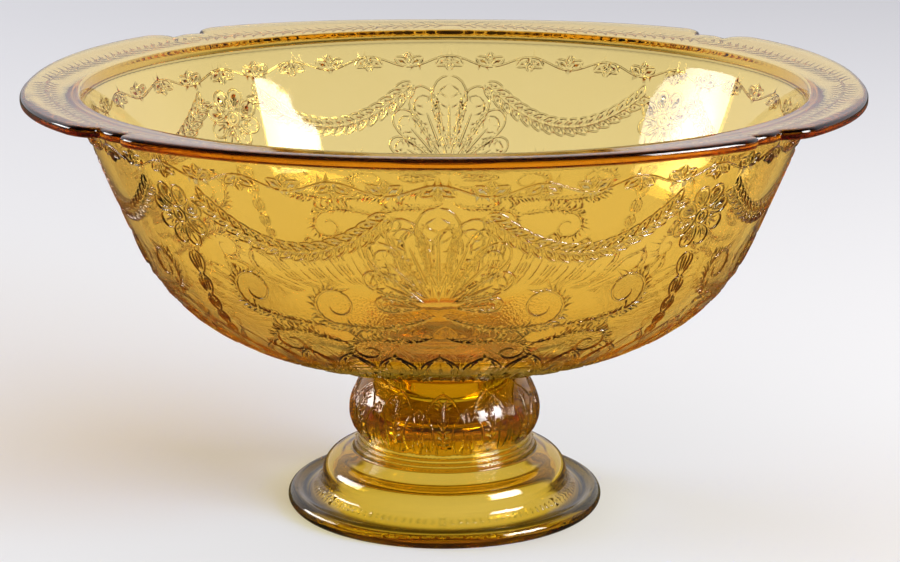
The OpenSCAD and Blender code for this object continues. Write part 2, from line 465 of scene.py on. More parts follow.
def plain_points(rows, width, margin_share, layer, sides, inside):
    """A coarse grid between the strokes. Its points on a side are added to that side."""
    plain = []
    for k, (y, spacing) in enumerate(rows):
        margin = spacing * margin_share
        for x, side in sides.items():
            if inside(x, y, margin) and not layer.crowded((x, y), ground_gap):
                side.append(float(y))
        count = max(2, round(width / spacing))
        for i in range(1, count):
            x = width * (i - k % 2 / 2) / count
            if inside(x, y, margin) and not layer.crowded((x, y), ground_gap):
                plain.append((x, y))
    return plain


def carve(skin, marks, grounds, width, top, columns, rows, margin_share):
    """Triangles of half a lobe of skin with its strokes, from its first row up to a top edge.

    grounds is the outlines that are filled with stipple. top is the points of the upper edge,
    from the middle of the lobe to the corner. columns is how many spans the lower edge has.
    rows is the height and spacing of each row of plain points, which keep a margin from both
    edges, as a share of their spacing."""
    relief = Relief(marks, skin)

    def inside(x, y, margin):
        return margin < y < np.interp(x, top[:, 0], top[:, 1]) - margin

    layer = Layer(ground_gap)
    sides = {0.0: [], width: []}
    lay_strokes(layer, sides, relief, inside)
    plain = plain_points(rows, width, margin_share, layer, sides, inside)
    loop = [(width * i / columns, 0.0) for i in range(columns + 1)]
    loop += [(width, y) for y in sorted(sides[width])] + [tuple(p) for p in top[::-1]]
    loop += [(0.0, y) for y in sorted(sides[0.0], reverse=True)]
    inner = [p for p in layer.points if p[0] not in sides] + plain
    flat, _, faces, _, _, _ = delaunay_2d_cdt(
        [Vector(p) for p in loop + inner], [], [list(range(len(loop)))], keep_inside, same_point)
    points = np.array([tuple(p) for p in flat])
    heights, slopes = relief.at(points)
    loose = loose_points(points, np.array(faces))
    heights[loose] = 0
    slopes[loose] = 0
    slopes[(points[:, 0] < side_snap) | (points[:, 0] > width - side_snap), 0] = 0
    polar, local = skin.place(points, heights, slopes)
    # how steep its flank is, which sets the painted shade on the ornament's flanks
    flank = np.clip(np.linalg.norm(slopes, axis=1) / steepest, 0, 1)
    stipple = np.zeros(len(points), bool)
    for outline in grounds:
        stipple |= within(points, outline)
    print("carved", len(marks), "strokes into", len(faces), "triangles")
    return polar, local, wound(points, faces), stipple, flank


def plain_rows(skin, step, heights=None):
    """Rows of plain points about one step apart on the real piece, or at given plan heights."""
    if heights is None:
        heights = [0]
        while heights[-1] < skin.rows[-1]:
            heights.append(heights[-1] + step * skin.plan_r / float(skin.radius(heights[-1])))
    return [(y, step * skin.plan_r / float(skin.radius(y))) for y in heights]

# %% [markdown]
# ## The plain stretches
#
# The edge, the top of the flange and the whole inside were pressed by the smooth plunger. They
# are rings of points joined in order, and they take their shading from their own faces. A shell
# collects carved and plain stretches of half a lobe, and then mirrors them into a whole one.
# It also tells the glass where to lay painted shade, a near-black tint: on a thick edge, and in
# part on the flanks of the ornament, which look down the length of the glass. The tint stands in
# for the dark of the long paths through the glass there and of the dark room seen in it.

# %% Collect half a lobe
# the share of the painted shade, the near-black edge tint, that the steepest flank of the ornament
# gets
flank_shade_share = 0.46


class Shell:
    """Points of half a lobe as angle, radius and height, with their facings and faces."""

    def __init__(self):
        self.polar = []
        self.local = []
        self.stipple = []
        self.flank = []
        self.faces = []

    def add(self, polar, local, faces, stipple, flank):
        """Adds a stretch, whose faces count its own points from zero."""
        start = len(self.polar)
        self.polar += [tuple(p) for p in polar]
        self.local += [tuple(n) for n in local]
        self.stipple += [float(s) for s in stipple]
        self.flank += [float(f) for f in flank]
        self.faces += [tuple(start + i for i in face) for face in faces]

    def add_rings(self, rings):
        """Joins rings that run the way the outside climbs.

        A ring may be one point at the axis, or skip every second point of the ring before."""
        flat = [p for ring in rings for p in ring]
        starts = np.cumsum([0] + [len(ring) for ring in rings])
        faces = []
        for low, high, here, there in zip(starts, starts[1:], rings, rings[1:]):
            for i in range(max(len(here), len(there)) - 1):
                if len(here) == 1:
                    faces.append((low, high + i + 1, high + i))
                elif len(there) == 1:
                    faces.append((low + i, low + i + 1, high))
                elif len(there) < len(here):
                    far = high + i // 2
                    faces.append((low + i, low + i + 1, far + i % 2))
                    if i % 2 == 0:
                        faces.append((low + i + 1, far + 1, far))
                else:
                    faces.append((low + i, low + i + 1, high + i + 1, high + i))
        plain = np.zeros(len(flat))
        self.add(flat, np.zeros((len(flat), 3)), faces, plain, plain)

    def lobe(self, name, painted_shade_share):
        """A mesh object of the half lobe and its mirror image.

        painted_shade_share tells from angle, radius and height how much painted shade, a near-black
        tint, a point on a thick edge gets."""
        polar = np.array(self.polar)
        local = np.array(self.local)
        count = len(polar)
        polar = np.vstack([polar, polar * [-1, 1, 1]])
        local = np.vstack([local, local * [1, -1, 1]])
        faces = self.faces + [tuple(count + i for i in reversed(face)) for face in self.faces]
        angle, radius, height = polar.T
        mesh = bpy.data.meshes.new(name)
        mesh.from_pydata(
            np.column_stack([radius * np.cos(angle), radius * np.sin(angle), height]), [], faces)
        mesh.attributes.new("local_facing", "FLOAT_VECTOR", "POINT").data.foreach_set(
            "vector", local.ravel())
        mesh.attributes.new("stipple", "FLOAT", "POINT").data.foreach_set("value", self.stipple * 2)
        # the attribute edge carries painted shade: how much of the near-black tint each point gets
        painted_shade = np.maximum(painted_shade_share(angle, radius, height), flank_shade_share * np.array(self.flank * 2))
        mesh.attributes.new("edge", "FLOAT", "POINT").data.foreach_set("value", painted_shade)
        return put(name, mesh)

# %% [markdown]
# ## The rim
#
# In plan the rim is a rounded square. Each lobe rounds down into a notch, and a small ear stands
# between the two notches of a corner. The edge is rounded off in full, so it is a half circle of
# glass swept along a line that lies half a thickness inside the outline. The half circle is a
# little squarish, so its top stays flat for longer and turns down late.

# %% Outline of the rim
corner_angle = math.pi / 4
rim_power = 2.25
ear_setback = 5.6 * MM
ear_half_w = 7 * MM
ear_crown = 1.5 * MM
shoulder_w = 10 * MM


def square_r(angle):
    """Radius of the rounded square at an angle from the middle of a lobe."""
    return rim_half_w / (np.abs(np.cos(angle)) ** rim_power
                         + np.abs(np.sin(angle)) ** rim_power) ** (1 / rim_power)


ear_r = float(square_r(corner_angle)) - ear_setback
notch_r = ear_r - ear_crown
ear_angle = ear_half_w / ear_r
shoulder_angle = shoulder_w / ear_r


def outline_r(gap):
    """Radius of the rim's edge at an angle from the middle of a corner."""
    rise = np.clip((gap - ear_angle) / shoulder_angle, 0, 1)
    lobe = notch_r + (square_r(corner_angle - gap) - notch_r) * np.sqrt(1 - (1 - rise) ** 2)
    ear = ear_r - ear_crown * (gap / ear_angle) ** 2
    return np.where(gap < ear_angle, ear, lobe)


lobe_points, shoulder_points, ear_points = 21, 13, 7
lobe_start = ear_angle + shoulder_angle
shoulder_shares = np.linspace(1, 0, shoulder_points)[1:]
gaps = np.concatenate([
    np.linspace(corner_angle, lobe_start, lobe_points),
    ear_angle + shoulder_angle * (1 - np.cos(math.pi / 2 * shoulder_shares)),
    np.linspace(ear_angle, 0, ear_points)[1:]])
turns = corner_angle - gaps
outline = outline_r(gaps)[:, None] * circle(turns)
outward = right_of(travel(outline))
outward[0] = (1, 0)
outward[-1] = toward(corner_angle)
edge_round = flange_t / 2
crest = outline - edge_round * outward
print("rim outline of half a lobe:", len(outline), "points, ear radius", round(ear_r / MM, 1))

# %% Rings of the edge and the flange
def polar_ring(points, heights):
    """A ring of flat points as angle, radius and height, closed on both mirror lines."""
    angle = np.arctan2(points[:, 1], points[:, 0])
    angle[0], angle[-1] = 0, corner_angle
    return np.column_stack([angle, np.hypot(*points.T), heights])


def round_ring(radius, height, angles):
    """A ring of one radius and one height."""
    return np.column_stack([angles, np.full(len(angles), radius), np.full(len(angles), height)])


edge_power = 0.72


def squarish(value):
    """A sine or cosine made larger, which turns the half circle of the edge a little square."""
    return math.copysign(abs(value) ** edge_power, value)


crest_top = flange_top(np.hypot(*crest.T))
edge_rings = [
    polar_ring(crest + edge_round * squarish(math.cos(tilt)) * outward,
               crest_top - edge_round + edge_round * squarish(math.sin(tilt)))
    for tilt in np.radians(np.linspace(-90, 90, 11))]
mouth_circle = mouth_r * circle(turns)
flange_rings = []
for share in (0.75, 0.5, 0.25):
    points = mouth_circle * (1 - share) + crest * share
    flange_rings.append(polar_ring(points, flange_top(np.hypot(*points.T))))


def share_by_tilt(out, up, tilts, shares):
    """A share that goes by how many degrees a place is tilted up from straight out."""
    return np.interp(np.degrees(np.arctan2(up, out)), tilts, shares)


def rim_painted_shade(angle, radius, height):
    """How much painted shade the rim's edge gets: full above, none in front, half below."""
    out = radius - outline_r(corner_angle - np.abs(angle)) + edge_round
    up = height - flange_top(radius) + edge_round
    share = share_by_tilt(out, up, (-80, -62, -48, 0, 14, 62, 78), (0.5, 0.65, 0, 0, 1, 1, 0.05))
    return np.where((out > 0) & (height > mouth_h - flange_t), share, 0)

# %% Inside of the bowl
wall_swell = 0.3
floor_reach = 0.2
inner_corner = (under_corner + wall_t * np.array([-wall_way[1], wall_way[0]])
                + wall_way * (flange_t - wall_t * wall_way[0]) / wall_way[1])
every_third = slice(1, 1 + base_spans + heel_spans + wall_spans, 3)
wall_points = bowl_outside[every_third]
inward = -right_of(travel(bowl_outside)[every_third])
rise = np.clip((wall_points[:, 1] - seat_h) / wall_break, 0, 1)
thickness = (wall_t * (1 + wall_swell - wall_swell * rise)
             + (floor_t - wall_t) * np.clip(1 - rise / floor_reach, 0, 1) ** 2)
inside = wall_points + inward * thickness[:, None]
mouth = (mouth_r, mouth_h)
roll = curve([mouth, (inner_corner[0], mouth_h), inner_corner - wall_way * roll_down], 5)
inside = inside[inside[:, 1] < roll[-1, 1] - MM]
inner_section = np.vstack([[mouth], roll, inside[::-1]])
floor_h = seat_h + floor_t
floor_shares = (1, 0.7, 0.35)
print("inside of the bowl:", len(inner_section), "rings, floor at", round(floor_h / MM, 1))

# %% [markdown]
# ## The bowl's ornament
#
# Pressed tableware is covered with low ornament that hides the flow marks of the glass. This
# design is drawn from the common stock of classical ornament: a running leaf border under the rim,
# a palmette in the middle of each lobe, laurel swags that hang between rosettes at the corners,
# fringed scrolls and husk chains under them, and lotus petals round the heel. Motifs are drawn at
# unit size and then set down, turned and scaled.

# %% Motif helpers
def set_down(points, place, angle=0, size=1, flip=1):
    """A unit motif scaled, turned and moved to its place on the plan."""
    c, s = math.cos(angle), math.sin(angle)
    shape = np.array(points, float) * [1, flip]
    return size * shape @ np.array([[c, s], [-s, c]]) + place


def spoke(first, last, place, angle, size):
    """A straight line between two shares of a motif's length."""
    return set_down([(first, 0), (last, 0)], place, angle, size)


def bow(place, angle, length, bend, count):
    """A bent line, whose bend is a share of its length."""
    t = np.linspace(0, 1, count)
    return set_down(np.column_stack([t, bend * np.sin(math.pi * t)]), place, angle, length)


def teardrop(width, sharpness=1.9):
    """A petal outline from its pointed base at the origin round its blunt tip at (1, 0)."""
    t = np.linspace(0, 2 * math.pi, 25)
    return np.column_stack([(1 - np.cos(t)) / 2,
                            width * np.sin(t) * np.abs(np.sin(t / 2)) ** sharpness])


def volute(turn_count):
    """A spiral that winds in from (1, 0) to near the origin, with 14 steps to a turn."""
    t = np.linspace(0, 1, int(turn_count * 14) + 1)
    radius = (1 - t) ** 0.9 * 0.85 + 0.15
    return radius[:, None] * circle(2 * math.pi * turn_count * t)


def along(line, spacing, offset=0):
    """Places and directions at an even spacing along a line."""
    run = run_of(line)
    stops = np.arange(offset, run[-1], spacing)
    ways = read_at(stops, run, travel(line))
    return read_at(stops, run, line), np.arctan2(ways[:, 1], ways[:, 0])

# %% Leaves, fringes and scrolls
def blade(place, angle, length, bend, half_w=0.95 * MM, height=0.55 * MM):
    """A small full leaf: one fat ridge that tapers to both ends."""
    return stroke(bow(place, angle, length, bend, 7), half_w, height, (0.5, 0.6))


def leaf(place, angle, length, width):
    """A leaf in outline, pointed at both ends, with a midrib."""
    t = np.linspace(0, 1, 9)
    side = np.column_stack([t, width * np.sin(math.pi * t ** 0.8)])
    marks = [stroke(set_down(side, place, angle, length, flip), ends=(0.15, 0.2))
             for flip in (1, -1)]
    return marks + [vein(spoke(0.05, 0.8, place, angle, length))]


def fringe(line, length, spacing, lean, side, last, scallop=4):
    """Veins that fan off one side of a line in groups, as the lobes of an acanthus leaf do.

    last is the share of the line that has a fringe, and scallop how many veins make a group."""
    marks = []
    places, angles = along(line, spacing, spacing)
    count = int(len(places) * last)
    for k in range(count):
        swell = math.sin(math.pi * (k + 0.6) / (count + 0.6)) ** 0.6
        group = 0.62 + 0.38 * abs(math.sin(math.pi * (k + 0.5) / scallop))
        line = bow(places[k], angles[k] + side * lean, length * swell * group, -0.16 * side, 5)
        marks.append(vein(line))
    return marks


def scroll(start, heading, centre, radius, entry, turn_count, flip):
    """A stem that leaves its start on a heading and winds into a volute round a centre."""
    spiral = set_down(volute(turn_count), centre, math.radians(entry), radius, flip)
    way = unit(spiral[1] - spiral[0])
    pull = 0.45 * np.linalg.norm(spiral[0] - start)
    lead = curve([start, start + pull * toward(math.radians(heading)),
                  spiral[0] - pull * way, spiral[0]], 12)
    return np.vstack([[start], lead, spiral[1:]])

# %% The palmette
def palmette(place, petals, length, base_gap):
    """Half a fan of petals. Each petal has its tilt from upright, its length and its width."""
    marks = []
    for tilt, long_share, wide_share in petals:
        angle = math.pi / 2 - math.radians(tilt)
        way = toward(angle)
        size = length * long_share
        start = np.array(place) + base_gap * way
        for scale, mark in ((1, stroke), (0.74, vein)):
            petal = set_down(teardrop(wide_share), start + way * size * (1 - scale) * 0.55,
                             angle, size * scale)
            if tilt == 0:
                petal = petal[len(petal) // 2:]
            marks.append(mark(petal, ends=(0.04, 0.04 if tilt else 0)))
        marks.append(stroke(spoke(0.1, 0.8, start, angle, size), line_w * 1.3, line_h * 1.2,
                            (0.3, 0.6)))
        for k in range(3):
            spot = 0.5 + 0.12 * k
            for side in (1, -1) if tilt else (-1,):
                barb = [(spot, 0.04 * side), (spot + 0.12, wide_share * 0.5 * side)]
                marks.append(vein(set_down(barb, start, angle, size)))
    return marks

# %% The laurel swag, the rosette and the husks
def hang(start, end, sag):
    """A line that hangs between two points."""
    t = np.linspace(0, 1, 25)[:, None]
    line = np.array(start) * (1 - t) + np.array(end) * t
    line[:, 1] -= 4 * sag * (t * (1 - t))[:, 0]
    return line


def laurel(line, spacing, length):
    """Leaves in threes along a line, two in outline that open out and one that lies on the line."""
    marks = []
    for place, angle in zip(*along(line, spacing)):
        for lean in (0.5, -0.5):
            marks += leaf(place, angle + lean, length, width=0.2)
        marks.append(blade(place, angle, length * 0.8, bend=0))
    return marks


def rosette(place, radius, petals, first, last):
    """The petals of a rosette between two angles, round a ring and a boss."""
    marks = []
    for k in range(petals):
        angle = 2 * math.pi * (k + 0.5) / petals
        if first < angle < last:
            start = np.array(place) + 0.28 * radius * toward(angle)
            marks.append(stroke(set_down(teardrop(0.44, 0.7), start, angle, radius * 0.74),
                                ends=(0.05, 0.05)))
            marks += [vein(spoke(0.12, 0.66, start, angle + lean, radius * 0.72))
                      for lean in (-0.3, 0, 0.3)]
    ring = circle(np.linspace(first, last, 17))
    for share in (0.24, 0.1):
        marks.append(stroke(np.array(place) + share * radius * ring, ends=(0, 0), step=0.8 * MM))
    return marks


def husks(place, lengths):
    """Half a chain of bell flowers that hangs down a mirror line at its left."""
    marks = []
    x, y = place
    t = np.linspace(0, 1, 9)
    for length in lengths:
        for wide, far in ((0.36, 1), (0.17, 0.85)):
            bell = np.column_stack([-wide * np.sin(math.pi * t ** 0.75) - 0.1 * t ** 4, -t * far])
            marks.append(stroke(bell * length + (x, y), ends=(0.15, 0.2)))
        marks.append(stroke([(x, y - 0.1 * length), (x, y - 0.85 * length)],
                            line_w * 1.3, ends=(0.3, 0.5)))
        y -= length * 0.98
    return marks

# %% Sizes of the bowl's ornament
lobe_w = corner_angle * bowl_skin.plan_r
past_side = 4 * MM
border_top = wall_top_row - 1.5 * MM
border_low = border_top - 8.5 * MM
field_low = wall_foot_row - 4 * MM
fan_base = (0, field_low + 1 * MM)
rose_at = (lobe_w, border_low - 12.5 * MM)

# %% The running leaf border and the flange
border_stem_x = np.linspace(-past_side, lobe_w + past_side, 90)
border_waves = 6
border_sway = 2 * MM
border_leaf_off = 1.4 * MM
flange_line_rise = 5 * MM
flange_sway = 1 * MM
border_phase = math.pi * border_waves * border_stem_x / lobe_w
border_mid = (border_top + border_low) / 2
border_stem = np.column_stack([border_stem_x, border_mid + border_sway * np.cos(border_phase)])
bowl_marks = [stroke(border_stem, ends=(0, 0))]
for k in range(border_waves + 1):
    side = -1 if k % 2 else 1
    place = (k * lobe_w / border_waves, border_mid + side * border_leaf_off)
    for lean, length in ((-1.05, 6.4), (0, 5.4), (1.05, 6.4)):
        bowl_marks += leaf(place, lean - side * math.pi / 2, length * MM, width=0.27)

flange_line = np.column_stack([
    border_stem_x, flange_row + flange_line_rise + flange_sway * np.cos(border_phase / 3)])
bowl_marks.append(stroke(flange_line, ends=(0, 0)))


def leaf_pairs(line, spacing, offset, length, half_w, height):
    """Small full leaves in pairs along a line."""
    return [blade(place, angle + side * 0.8, length, -0.15 * side, half_w, height)
            for place, angle in zip(*along(line, spacing, offset)) for side in (1, -1)]


bowl_marks += leaf_pairs(flange_line, spacing=3.6 * MM, offset=5.6 * MM, length=6 * MM,
                         half_w=0.85 * MM, height=0.6 * MM)

# %% The palmette and its scrolls
petals = [(0, 1, 0.3), (20, 0.94, 0.26), (40, 0.82, 0.26), (61, 0.66, 0.27), (84, 0.48, 0.3)]
bowl_marks += palmette(fan_base, petals, length=34 * MM, base_gap=5 * MM)
bowl_grounds = []
for start, heading, centre, radius, entry, turn_count, flip, barb in (
        ((1, 8), -25, (35, 11), 9, -100, 1.5, 1, 8.5),
        ((38, 1), 5, (66, 14), 9, -90, 1.5, 1, 8),
        ((1, -2), -35, (27, -13), 7, 95, 1.3, -1, 7),
        ((33, -8), 8, (59, -12), 8, 95, 1.3, -1, 8)):
    start, centre = (np.array(p) * MM + (0, field_low - 10 * MM) for p in (start, centre))
    line = scroll(start, heading, centre, radius * MM, entry, turn_count, flip)
    bowl_marks.append(stroke(line, line_w * 1.2, ends=(0.08, 0.12)))
    bowl_marks += fringe(line, barb * MM, 1.75 * MM, lean=0.8, side=-flip, last=0.74)
    bowl_marks += fringe(line, barb * MM * 0.55, 2 * MM, lean=0.8, side=flip, last=0.45)
    bowl_grounds.append(line[:20])

# %% The swag, the corner and the heel
swag = hang((14 * MM, border_low - 4 * MM), (lobe_w - 13 * MM, border_low - 5 * MM), sag=15 * MM)
bowl_marks += laurel(swag, spacing=4.6 * MM, length=7.4 * MM)
bowl_marks += rosette(rose_at, 11.5 * MM, petals=8, first=math.pi / 2, last=math.pi * 1.5)
bowl_marks += husks((lobe_w, rose_at[1] - 13 * MM), [10 * MM, 9 * MM, 8 * MM, 7 * MM, 6 * MM])

lotus_count = 5
lotus_w = lobe_w / lotus_count
lotus_top = wall_foot_row - 30 * MM
lotus_low = base_row + 3 * MM
lotus_round = 14 * MM
lotus_step = 5 * MM
lotus_turn_h = lotus_top - lotus_round
t = np.linspace(0, 1, 9)
for k in range(lotus_count + 1):
    middle = k * lotus_w
    for share, mark in ((0.44, stroke), (0.3, vein)):
        for side in (1, -1):
            x = middle + side * share * lotus_w
            if not 0 < x < lobe_w:
                continue
            arch = np.column_stack([
                x - side * share * lotus_w * t ** 2.2,
                lotus_turn_h + t * lotus_round * (0.6 + 0.9 * share)])
            bowl_marks.append(mark(arch, ends=(0, 0)))
            bowl_marks.append(stroke([(x, lotus_low), (x, lotus_turn_h)],
                                     ends=(0.2, 0), step=lotus_step))
    bowl_marks.append(stroke([(middle, lotus_low + 4 * MM), (middle, lotus_turn_h)],
                             line_w * 1.5, ends=(0.5, 0.5), step=lotus_step))
print("bowl ornament:", len(bowl_marks), "strokes")

# %% Build the bowl's half lobe
bowl_half = Shell()
lower_columns = 14
plain_spacing = 4.6 * MM
fillet_spacing = 3.4 * MM
fillet_clearance = 2 * MM
bowl_margin = 0.3
lower_angles = np.linspace(0, corner_angle, lower_columns + 1)
bowl_half.add_rings([[(0, 0, seat_h)], round_ring(seat_r / 2, seat_h, lower_angles),
                     round_ring(seat_r, seat_h, lower_angles)])
crest_polar = edge_rings[0]
crest_plan = np.column_stack([
    crest_polar[:, 0] * bowl_skin.plan_r,
    np.interp(crest_polar[:, 1], bowl_skin.section[:, 0], bowl_skin.rows)])
row_slack = MM / 10
fillet_rows = [y for y in bowl_skin.rows if wall_top_row - row_slack < y < flange_row + row_slack]
grid = [row for row in plain_rows(bowl_skin, plain_spacing)
        if not wall_top_row - fillet_clearance < row[0] < flange_row + fillet_clearance]
bowl_half.add(*carve(bowl_skin, bowl_marks, bowl_grounds, lobe_w, crest_plan, lower_columns,
                     grid + plain_rows(bowl_skin, fillet_spacing, fillet_rows), bowl_margin))
bowl_half.add_rings(
    edge_rings + flange_rings
    + [round_ring(r, h, turns[::2]) for r, h in inner_section]
    + [round_ring(seat_r * share, floor_h, turns[::2]) for share in floor_shares]
    + [[(0, 0, floor_h)]])
print("half a lobe of the bowl:", len(bowl_half.faces), "faces")

# %% [markdown]
# ## Wiring nodes
#
# Geometry Nodes, glass, paper, lamps and the world are all trees of nodes. Written out, most of
# their lines only say which output feeds which input. One small class takes that up: it adds a
# node, sets it up and feeds its inputs in a single call.

# %% A short way to wire nodes
class Wires:
    """Adds nodes to a tree. A value, a socket or a node's first output can feed an input."""

    def __init__(self, tree):
        self.tree = tree

    def add(self, kind, inputs=(), **settings):
        """A new node with these settings and with its inputs fed by name or by number."""
        node = self.tree.nodes.new(kind)
        for name, value in settings.items():
            setattr(node, name, value)
        for key, value in dict(inputs).items():
            if isinstance(value, bpy.types.Node):
                value = value.outputs[0]
            if isinstance(value, bpy.types.NodeSocket):
                self.tree.links.new(value, node.inputs[key])
            else:
                node.inputs[key].default_value = value
        return node

    def maths(self, operation, *values, clamp=False):
        return self.add("ShaderNodeMath", enumerate(values), operation=operation, use_clamp=clamp)

    def smooth(self, value, low, high, first=0, last=1):
        """A smooth step from first to last while the value goes from low to high."""
        return self.add("ShaderNodeMapRange", {
            "Value": value, "From Min": low, "From Max": high, "To Min": first, "To Max": last},
            interpolation_type="SMOOTHSTEP")

    def mix(self, share, first, second):
        """A colour between two."""
        return self.add("ShaderNodeMix", {"Factor": share, "A": first, "B": second},
                        data_type="RGBA").outputs["Result"]

    def either(self, share, first, second):
        """A shader between two."""
        return self.add("ShaderNodeMixShader", {0: share, 1: first, 2: second})


def name_sockets(tree, in_out, kind, labels):
    """Gives a node group some inputs or outputs of one kind, and returns their identifiers."""
    return {label: tree.interface.new_socket(
        label, in_out=in_out, socket_type="NodeSocket" + kind).identifier for label in labels}


def cleared(owner):
    """Wires for the emptied tree of a material, lamp or world."""
    owner.use_nodes = True
    owner.node_tree.nodes.clear()
    return Wires(owner.node_tree)

# %% [markdown]
# ## Turning the lobes
#
# Geometry Nodes repeat the lobe. The tree stands copies round the axis, makes them real, welds
# the seams and gives the result its glass. Repeating in nodes keeps the carving to one half lobe,
# and the same tree turns the pedestal with another number of copies.

# %% A tree that repeats a lobe round the axis
def turning_tree():
    """The tree, and the identifier of each of its inputs."""
    tree = bpy.data.node_groups.new("turn_lobes", "GeometryNodeTree")
    sockets = {}
    for kind, label in (("Geometry", "Lobe"), ("Int", "Copies"), ("Float", "Weld Distance"),
                        ("Material", "Glass")):
        sockets |= name_sockets(tree, "INPUT", kind, [label])
    name_sockets(tree, "OUTPUT", "Geometry", ["Piece"])
    wires = Wires(tree)
    given = wires.add("NodeGroupInput").outputs
    share = wires.maths("DIVIDE", wires.add("GeometryNodeInputIndex"), given["Copies"])
    turn = wires.add("ShaderNodeCombineXYZ", {"Z": wires.maths("MULTIPLY", share, 2 * math.pi)})
    copies = wires.add("GeometryNodeInstanceOnPoints", {
        "Points": wires.add("GeometryNodePoints", {"Count": given["Copies"]}),
        "Instance": given["Lobe"], "Rotation": turn})
    weld = wires.add("GeometryNodeMergeByDistance", {
        "Geometry": wires.add("GeometryNodeRealizeInstances", {0: copies}),
        "Distance": given["Weld Distance"]})
    finish = wires.add("GeometryNodeSetMaterial", {"Geometry": weld, "Material": given["Glass"]})
    wires.add("NodeGroupOutput", {0: finish})
    return tree, sockets


turn_tree, turn_inputs = turning_tree()
weld_distance = 0.004 * MM

# %% Turn a lobe into a piece
def turn_lobe(lobe, copies, material):
    """Repeats a lobe, and returns the whole piece as one plain mesh object at the origin."""
    modifier = lobe.modifiers.new("turn_lobes", "NODES")
    modifier.node_group = turn_tree
    modifier[turn_inputs["Copies"]] = copies
    modifier[turn_inputs["Weld Distance"]] = weld_distance
    modifier[turn_inputs["Glass"]] = material
    graph = bpy.context.evaluated_depsgraph_get()
    mesh = bpy.data.meshes.new_from_object(
        lobe.evaluated_get(graph), preserve_all_data_layers=True, depsgraph=graph)
    name = lobe.name.replace("_lobe", "")
    bpy.data.objects.remove(lobe)
    return put(name, mesh)

# %% Shade a piece
def read_vectors(data, label):
    """The vectors of mesh data as rows."""
    values = np.empty(len(data) * 3)
    data.foreach_get(label, values)
    return values.reshape(-1, 3)


def shade(piece):
    """Gives carved points the facing of their true curve, and the rest that of their faces.

    A facing is stored as outward, round and up, so it is turned to where its point has gone."""
    mesh = piece.data
    mesh.shade_smooth()
    places = read_vectors(mesh.vertices, "co")
    local = read_vectors(mesh.attributes["local_facing"].data, "vector")
    own = read_vectors(mesh.vertex_normals, "vector")
    radius = np.maximum(np.hypot(places[:, 0], places[:, 1]), MM / 10)
    out = places[:, :2] / radius[:, None]
    facing = np.column_stack([out * local[:, :1] - right_of(out) * local[:, 1:2], local[:, 2]])
    carved = np.linalg.norm(local, axis=1) > 0.5
    facing = np.where(carved[:, None], facing, own)
    mesh.normals_split_custom_set_from_vertices(unit(facing))
    mesh.attributes.remove(mesh.attributes["local_facing"])
    print(piece.name, len(mesh.polygons), "faces,",
          sum(len(p.vertices) - 2 for p in mesh.polygons), "triangles")

# %% [markdown]
# ## The pedestal
#
# The pedestal is turned too: a beaded foot, a sloping band, a dome, a ringed collar and a ball
# that is a closed cup. Its hollow under the foot and the cup in its top are read through the
# glass, so they are modelled with the same care as the outside.

# %% Sizes of the pedestal
foot_r = pedestal_high.x
bead_r = 3.1 * MM
valley_w = 3.1 * MM
valley_h = 5 * MM
band_w = 6.1 * MM
dome_mid_h = 10.4 * MM
dome_round_w = 7.3 * MM
dome_round_h = 8.2 * MM
dome_h = 20.2 * MM
foot_t = 4.4 * MM
collar_r = 32.2 * MM
ring_step = 0.8 * MM
ring_h = 1.6 * MM
ring_rows = 3
ring_round = 0.35 * MM
groove_r = 30.1 * MM
ball_r = 33.4 * MM
ball_h = 24 * MM
ball_mid_share = 0.38
neck_top_r = 26.6 * MM
waist_r = 25 * MM
waist_share = 0.45
joint_r = 26 * MM
joint_sink = 0.2 * MM
cup_r = 19 * MM
cup_depth = 17.5 * MM
cup_round = 5 * MM
web_t = 4 * MM
rest_w = 3.8 * MM
rest_chamfer = 1 * MM
stem_hollow = np.array([24.5 * MM, 25.5 * MM])
hollow_top_w = 22 * MM

# These leans are in degrees, and the pulls under them in millimetres.
groove_lean, neck_lean, roof_lean, side_lean = 62, -50, 163, -20
valley_pull_out, valley_pull_in = 1.6, 3.9
ball_low_pull, ball_high_pull, neck_pull = 3.4, 5.3, 6.3
waist_pull, joint_pull = 2, 1.4
stem_pull_up, stem_pull_down = 9, -7
roof_pull_in, roof_pull_out, side_pull = 7, 1.7, 2

joint_h = pedestal_high.z
groove_h = dome_h + ring_rows * ring_h
ball_top_h = groove_h + ball_h
bead_mid = np.array([foot_r - bead_r, bead_r])
valley = np.array([bead_mid[0] - valley_w, valley_h])
dome_middle = np.array([valley[0] - band_w - dome_round_w, dome_mid_h])
dome_round = np.array([dome_round_w, dome_round_h])


def arc(middle, radii, first, last, count):
    """Points on an ellipse between two angles in degrees, both ends included."""
    t = np.radians(np.linspace(first, last, count))
    return np.array(middle) + np.array(radii) * circle(t)


def slope(degrees):
    """The direction that climbs at this many degrees."""
    return toward(math.radians(degrees))

